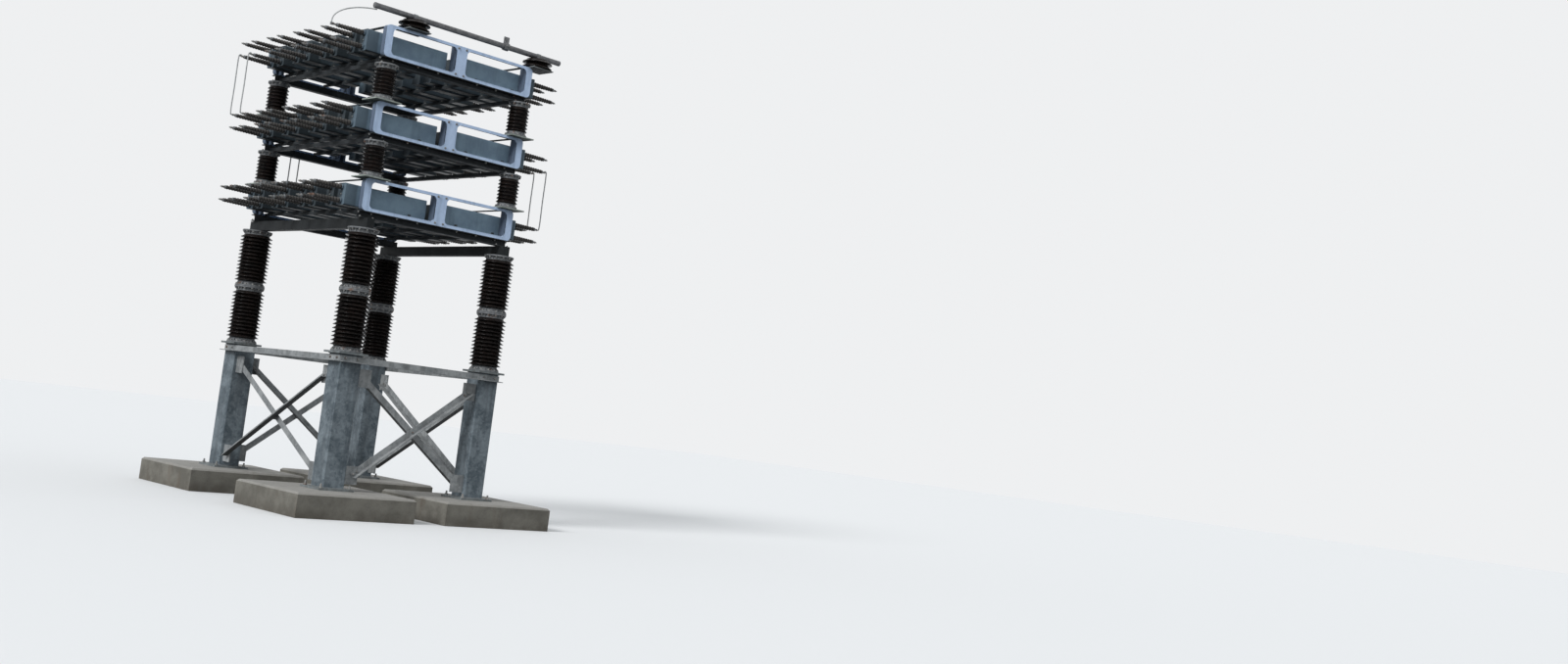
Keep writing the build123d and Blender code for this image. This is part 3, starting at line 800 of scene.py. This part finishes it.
for tier in tiers:
    low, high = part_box(f"tier_{tier}_end_frames")
    oneFrame = makeEndFrame(high.x, high.z - low.z)
    spots = [Matrix.Translation((0, low.y, low.z)), Matrix.Translation((0, high.y, low.z)) @ aboutTurn]
    frames = stamped(f"tier {tier} frames", oneFrame, spots)
    fitted(frames, "galvanised_steel", f"tier_{tier}_end_frames", smooth=30)
print("end frames done")


# clips that hold the cans on the floor rails, at two places along each can

clip = {
    "foot": 0.032, "width": 0.045, "height": 0.05, "sheet": 0.005, "ease": 0.0015,
    "places": (0.2, 0.7), "boltSize": 0.75, "boltShare": 0.58,
}


def makeClip():
    # an angle with its upright on y = 0 and its foot towards +Y
    half, sheet = clip["width"] / 2, clip["sheet"]
    foot = eased(block("bracket", (-half, 0, 0), (half, clip["foot"], sheet)), clip["ease"], 1)
    upright = eased(block("upright", (-half, 0, 0), (half, sheet, clip["height"])), clip["ease"], 1)
    bracket = coated(joined("bracket", [foot, upright]), railSteel)
    screw = makeBolt(clip["boltSize"])
    screw.data.transform(Matrix.Translation((0, clip["foot"] * clip["boltShare"], sheet)))
    return joined("bracket", [bracket, screw])


for tier in tiers:
    low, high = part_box(f"tier_{tier}_cans_right")
    spots = []
    for side, place in sides:
        for share in clip["places"]:
            x = side * (low.x + canLength * share)
            for y in canRows:
                spots.append(Matrix.Translation((x, y + can["thickness"] / 2, low.z)))
                spots.append(Matrix.Translation((x, y - can["thickness"] / 2, low.z)) @ aboutTurn)
    fitted(stamped(f"tier {tier} can clips", makeClip(), spots), "galvanised_steel")
print("clips done")


# anchor bolts in the footings

anchor = {"reach": 0.195, "size": 1.5, "stud": [(0.012, 0.02), (0.012, 0.05), (0.0072, 0.056)]}
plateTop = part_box("base_plates")[1].z
stud = coated(turned("stud", anchor["stud"], 12), boltZinc)
anchorBolt = joined("anchor", [makeBolt(anchor["size"]), stud])
anchors = stamped("anchor bolts", anchorBolt, squareSpots(columnSpots, anchor["reach"], plateTop))
fitted(anchors, "galvanised_steel")

# welds round the feet and heads of the legs
weld = {"width": 0.009, "lap": 0.001, "ease": 0.002}
legHalf = (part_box("leg_front_left")[1].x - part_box("leg_front_left")[0].x) / 2


def makeWeld(level, up):
    # a square bead, leaning on the leg
    width, outer = weld["width"], legHalf + weld["width"]
    bead = block("weld", (-outer, -outer, 0), (outer, outer, width))
    startEdit(bead)
    pickFaces(bead, lambda middle, normal: normal.z > 0.9)
    grow = (legHalf + weld["lap"]) / outer
    bpy.ops.transform.resize(value=(grow, grow, 1), center_override=(0, 0, width))
    endEdit()
    if up < 0:
        bead.data.transform(Matrix.Scale(-1, 4, (0, 0, 1)))
        bead.data.flip_normals()
    bead.data.transform(Matrix.Translation((0, 0, level)))
    return coated(eased(bead, weld["ease"], 1), plateSteel)


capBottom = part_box("cap_plates")[0].z
welds = joined("welds", [makeWeld(plateTop, 1), makeWeld(capBottom, -1)])
fitted(stamped("leg welds", welds, [Matrix.Translation(spot) for spot in columnSpots]), "galvanised_steel")

# bolts of the stand: two through each end of a ring bar, two at each end of a brace, one where they cross
ringBar = {"thickness": 0.009, "down": 0.034, "steps": (-0.085, 0.085)}
gusset = {"inset": 0.06, "thickness": 0.014, "reach": 0.245, "low": 0.5, "high": 1.72, "steps": (0.03, 0.085)}
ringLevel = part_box("ring_bars_x")[1].z - ringBar["down"]
legFaceX = columnSpots[1].x + legHalf
legFaceY = columnSpots[2].y + legHalf
ringFaceX, ringFaceY = legFaceX + ringBar["thickness"], legFaceY + ringBar["thickness"]
spots = []
for spot in columnSpots:
    outX = 1 if spot.x > 0 else -1
    outY = 1 if spot.y > 0 else -1
    for step in ringBar["steps"]:
        spots.append(facing((outX * ringFaceX, spot.y + step, ringLevel), (outX, 0, 0)))
        spots.append(facing((spot.x + step, outY * ringFaceY, ringLevel), (0, outY, 0)))
braceFace = gusset["thickness"] / 2 + ringBar["thickness"]
crossing = (gusset["low"] + gusset["high"]) / 2
reachX = columnSpots[1].x - gusset["reach"]
reachY = columnSpots[2].y - gusset["reach"]
for side in (-1, 1):
    planeX = side * (legFaceX - gusset["inset"])
    planeY = side * (legFaceY - gusset["inset"])
    for lean in (-1, 1):
        out = side * lean
        for end in (-1, 1):
            # the brace outside the gussets rises to the right, the one inside falls
            level, far = gusset["low"], gusset["high"]
            if end * lean > 0:
                level, far = far, level
            for along in gusset["steps"]:
                slide = Vector((-end * 2 * reachX, far - level)).normalized() * along
                place = (end * reachX + slide.x, planeY + out * braceFace, level + slide.y)
                spots.append(facing(place, (0, out, 0)))
                slide = Vector((-end * 2 * reachY, far - level)).normalized() * along
                place = (planeX + out * braceFace, -end * reachY - slide.x, level + slide.y)
                spots.append(facing(place, (out, 0, 0)))
    spots.append(facing((0, planeY + side * braceFace, crossing), (0, side, 0)))
    spots.append(facing((planeX + side * braceFace, 0, crossing), (side, 0, 0)))
bolted("stand bolts", 1.0, spots)

# bolts of the tiers: cross beams to columns, end frames to cross beams, side rails to end frames
tierBolts = {
    "seat": 0.01, "columnSteps": (-0.09, 0.09), "footOut": 0.02, "headIn": 0.03, "railShare": 1.0024,
    "railInsets": (0.054, 0.004), "beamPlaces": (-0.6, -0.3, 0.3, 0.6), "beamOut": 0.025,
    "frameLevels": (0.035, 0.38), "framePlaces": (-0.06, 0.06),
}
spots = []
for tier in tiers:
    beamLow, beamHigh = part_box(f"tier_{tier}_cross_beams")
    frameLow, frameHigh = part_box(f"tier_{tier}_end_frames")
    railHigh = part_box(f"tier_{tier}_side_rails")[1]
    footLevel, headLevel = beamLow.z + tierBolts["seat"], beamHigh.z - tierBolts["seat"]
    for spot in columnSpots:
        outY = 1 if spot.y > 0 else -1
        for step in tierBolts["columnSteps"]:
            spots.append(facing((spot.x + step, spot.y + outY * tierBolts["footOut"], footLevel)))
            spots.append(facing((spot.x + step, spot.y - outY * tierBolts["headIn"], headLevel), (0, 0, -1)))
        for inset in tierBolts["railInsets"]:
            spots.append(facing((spot.x * tierBolts["railShare"], outY * (railHigh.y - inset), railHigh.z)))
    for end in (-1, 1):
        for x in tierBolts["beamPlaces"]:
            place = (x, end * (columnSpots[2].y + tierBolts["beamOut"]), headLevel)
            spots.append(facing(place, (0, 0, -1)))
        for level in tierBolts["frameLevels"]:
            for x in tierBolts["framePlaces"]:
                spots.append(facing((x, end * frameHigh.y, frameLow.z + level), (0, end, 0)))
bolted("frame bolts", 0.9, spots)
print("stand and tier bolts done")


# bus: two short posts with saddles and straps, the tube, the bolts of seats and clamp

bus = {
    "core": 0.15, "rim": 0.2035, "sheds": 2, "sides": 40, "saddleLength": 0.09,
    "seatReach": 0.135, "seatBolt": 0.9, "clampSteps": (-0.018, 0.018), "clampBolt": 0.7,
}
# the tube's rounded end: how far under the full radius, how far along
tubeEnd = ((0.006, 0), (0.0015, 0.0025), (0, 0.008), (0, 0.03), (0.0012, 0.0315))
strap = {
    "width": 0.05, "sheet": 0.006, "footReach": 0.0545, "footLap": 0.003, "cutLevel": 0.002,
    "screwReach": 0.0488, "screwSteps": (-0.013, 0.013), "screwSize": 0.55,
}
postLow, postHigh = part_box("bus_posts")
tubeLow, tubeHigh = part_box("bus_tube")
saddleLow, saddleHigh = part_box("bus_saddles")
tubeRadius = (tubeHigh.z - tubeLow.z) / 2
axisY, axisZ = (tubeLow.y + tubeHigh.y) / 2, (tubeLow.z + tubeHigh.z) / 2
postPlaces = (saddleLow.x + bus["saddleLength"] / 2, saddleHigh.x - bus["saddleLength"] / 2)
outline = shedOutline(bus["core"], bus["rim"], postHigh.z - postLow.z, bus["sheds"])
postBody = coated(turned("post", outline, bus["sides"]), columnGlaze)
posts = stamped("bus posts", postBody, [facing((x, axisY, postLow.z)) for x in postPlaces])
fitted(posts, "porcelain", "bus_posts")

length = tubeHigh.x - tubeLow.x
outline = [(tubeRadius - under, along) for under, along in tubeEnd]
outline += [(radius, length - along) for radius, along in reversed(outline)]
tube = coated(turned("bus tube", outline, bus["sides"]), tubeMetal)
tube = stamped("bus tube dressed", tube, [facing((tubeLow.x, axisY, axisZ), (1, 0, 0))])
fitted(tube, "bus_aluminium", "bus_tube")


def makeStrap():
    # the upper half of a ring on X, along Z, with two feet and their screws
    sheet, width, outer = strap["sheet"], strap["width"], tubeRadius + strap["sheet"]
    ring = turned("strap", [(outer, 0), (outer, width)], bus["sides"])
    startEdit(ring)
    cutAt((strap["cutLevel"], 0, 0), (1, 0, 0), clear_inner=True, use_fill=True)
    endEdit(outward=True)
    feet, seats = [], []
    for side in (-1, 1):
        near, far = sorted((side * (outer - strap["footLap"]), side * strap["footReach"]))
        feet.append(block("foot", (0, near, 0), (sheet, far, width)))
        for step in strap["screwSteps"]:
            seats.append(facing((sheet, side * strap["screwReach"], width / 2 + step), (1, 0, 0)))
    made = coated(joined("strap", [ring, *feet]), plateSteel)
    return joined("strap", [made, stamped("screws", makeBolt(strap["screwSize"]), seats)])


# the strap is turned so that its X points up and its Z runs along the tube
overTube = Matrix(((0, 0, 1, 0), (0, -1, 0, 0), (1, 0, 0, 0), (0, 0, 0, 1)))
spots = [Matrix.Translation((x - strap["width"] / 2, axisY, axisZ)) @ overTube for x in postPlaces]
fitted(stamped("bus straps", makeStrap(), spots), "galvanised_steel")

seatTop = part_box("bus_seats")[1].z
postMiddles = [Vector((x, axisY, 0)) for x in postPlaces]
bolted("bus seat bolts", bus["seatBolt"], squareSpots(postMiddles, bus["seatReach"], seatTop))
clampLow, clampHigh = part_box("bus_clamp")
clampX = (clampLow.x + clampHigh.x) / 2
clampSpots = [facing((clampX + step, clampLow.y, axisZ), (0, -1, 0)) for step in bus["clampSteps"]]
bolted("clamp bolts", bus["clampBolt"], clampSpots)
print("bus parts done")


# jumpers, bonding rods and the lead: stiff round conductors

wire = {"radius": 0.0085, "slack": 0.001, "smooth": 60}


def makeWire(name, points):
    # a round rod through the points
    deselect()
    bpy.ops.curve.primitive_bezier_curve_add(location=(0, 0, 0))
    rod = bpy.context.active_object
    line = rod.data.splines[0]
    line.bezier_points.add(len(points) - 2)
    for knot, point in zip(line.bezier_points, points):
        knot.co = point
        knot.handle_left_type = knot.handle_right_type = "AUTO"
    rod.data.bevel_depth = wire["radius"]
    rod.data.bevel_resolution = 3
    rod.data.resolution_u = 6
    rod.data.use_fill_caps = True
    bpy.ops.object.convert(target="MESH")
    rod = settle(name)
    startEdit(rod)
    endEdit(outward=True)
    return coated(rod, wireMetal)


# a jumper's knots: how far in from its upright, how far over the bushing it starts or ends on
jumper = {
    "low": ((0.032, 0), (0.008, 0.002), (0, 0.03)),
    "high": ((0, -0.02), (0.006, 0.008), (0.032, 0.014), (0.036, -0.004)),
    "places": ((2, -1, (-1, -2)), (1, 1, (0, 1))),  # lower tier, side, cans along the row
}
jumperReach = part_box("jumpers")[1].x - wire["radius"] - wire["slack"]
jumpers = []
for lower, side, places in jumper["places"]:
    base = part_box(f"tier_{lower}_cans_right")
    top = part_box(f"tier_{lower + 1}_cans_right")
    lowLevel = (base[0].z + base[1].z) / 2 + bushingRise
    highLevel = (top[0].z + top[1].z) / 2 - bushingRise
    for index in places:
        x, y = side * jumperReach, canRows[index]
        points = [(x - side * inward, y, lowLevel + up) for inward, up in jumper["low"]]
        points.append((x, y, (lowLevel + highLevel) / 2))
        points += [(x - side * inward, y, highLevel + up) for inward, up in jumper["high"]]
        jumpers.append(makeWire("jumper", points))
fitted(joined("jumper rods", jumpers), "conductor", "jumpers", smooth=wire["smooth"])

bond = {"inset": 0.009, "knot": 0.05}
bondLow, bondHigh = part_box("bonding_rods")
bonds = []
for x in (bondLow.x + bond["inset"], bondHigh.x - bond["inset"]):
    y = (bondLow.y + bondHigh.y) / 2
    levels = (bondLow.z, bondLow.z + bond["knot"], bondHigh.z - bond["knot"], bondHigh.z)
    bonds.append(makeWire("bond", [(x, y, level) for level in levels]))
fitted(joined("bond rods", bonds), "conductor", "bonding_rods", smooth=wire["smooth"])

# the lead leaves the tube level and comes down in a quarter of an oval
lead = {"knots": 8, "drop": 0.06}
leadLow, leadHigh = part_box("down_lead")
start = Vector((leadHigh.x, axisY, axisZ - tubeRadius - wire["radius"] - wire["slack"]))
end = Vector((leadLow.x + wire["radius"] + wire["slack"], leadHigh.y - wire["radius"], leadLow.z))
run = end + Vector((0, 0, lead["drop"])) - start
turns = [pi / 2 * knot / lead["knots"] for knot in range(lead["knots"] + 1)]
points = [start + Vector((run.x * sin(turn), run.y * sin(turn), run.z * (1 - cos(turn)))) for turn in turns]
fitted(makeWire("lead rod", points + [end]), "conductor", "down_lead", smooth=wire["smooth"])

# a clamp holds the lead on the stud of the first bushing
grip = {
    "wall": 0.003, "reach": 0.036, "half": 0.0135, "foot": 0.001, "height": 0.034, "round": 0.003,
    "boltShare": 0.6, "boltSize": 0.5,
}
low = (leadLow.x - grip["wall"], end.y - grip["half"], end.z + grip["foot"])
high = (leadLow.x + grip["reach"], end.y + grip["half"], end.z + grip["height"])
clampBody = coated(eased(block("lead clamp", low, high), grip["round"]), castIron)
middle = Vector((leadLow.x + grip["reach"] * grip["boltShare"], end.y, end.z + grip["height"] / 2))
spots = [facing(middle + Vector((0, step * grip["half"], 0)), (0, step, 0)) for step in (-1, 1)]
gripBolts = stamped("grip bolts", makeBolt(grip["boltSize"]), spots)
fitted(joined("lead clamp", [clampBody, gripBolts]), "conductor")
print("conductors done")


# plain pale floor and backdrop, soft daylight from the left

studio = {
    "floorSize": 120, "floorLevel": -0.002, "floor": (0.7, 0.71, 0.72), "bounce": (0.1, 0.1, 0.1),
    "backdrop": (0.86, 0.87, 0.88), "fillColour": (0.95, 0.98, 1), "fill": 0.78,
    "sun": 2.4, "sunPlace": (-8, -4, 9), "sunFrom": (-0.88, -0.22, 0.6), "softness": 22,
}
deselect()
bpy.ops.mesh.primitive_plane_add(size=studio["floorSize"], location=(0, 0, studio["floorLevel"]))
floor = settle("floor")
floorCoat = Coat("floor")
coated(floor, floorCoat.finish(floorCoat.mix(floorCoat.onView(), studio["bounce"], studio["floor"]), 0.9))

world = bpy.data.worlds.new("studio")
bpy.context.scene.world = world
world.use_nodes = True
air = Wiring(world.node_tree)


def glow(colour, strength):
    return air.node("ShaderNodeBackground", inputs={"Color": (*colour, 1), "Strength": strength})


backdrop = glow(studio["backdrop"], 1.0)
fill = glow(studio["fillColour"], studio["fill"])
sky = air.node("ShaderNodeMixShader", inputs={0: air.onView(), 1: fill, 2: backdrop})
air.tree.links.new(sky.socket, air.tree.nodes["World Output"].inputs["Surface"])

deselect()
bpy.ops.object.light_add(type="SUN", location=studio["sunPlace"])
sun = bpy.context.active_object
sun.data.energy = studio["sun"]
sun.data.angle = radians(studio["softness"])
sun.rotation_euler = Vector(studio["sunFrom"]).to_track_quat("Z", "Y").to_euler()

# the photograph's own view point and tilt
view = {
    "place": (-10.652, -18.9, 1.584), "yaw": 0.77877, "pitch": 0.0703, "roll": 0.12116,
    "lens": 35.18, "sensor": 36, "farthest": 500,
}
yaw, pitch, roll = view["yaw"], view["pitch"], view["roll"]
ahead = Vector((cos(pitch) * sin(yaw), cos(pitch) * cos(yaw), sin(pitch)))
right = Vector((cos(yaw), -sin(yaw), 0))
up = right.cross(ahead)
across = cos(roll) * right + sin(roll) * up
above = cos(roll) * up - sin(roll) * right
deselect()
bpy.ops.object.camera_add(location=view["place"])
camera = bpy.context.active_object
turn = Matrix((across, above, -ahead)).transposed().to_4x4()
camera.matrix_world = Matrix.Translation(view["place"]) @ turn
camera.data.sensor_width = view["sensor"]
camera.data.lens = view["lens"]
camera.data.clip_end = view["farthest"]
bpy.context.scene.camera = camera
bpy.context.scene.view_settings.view_transform = "Standard"
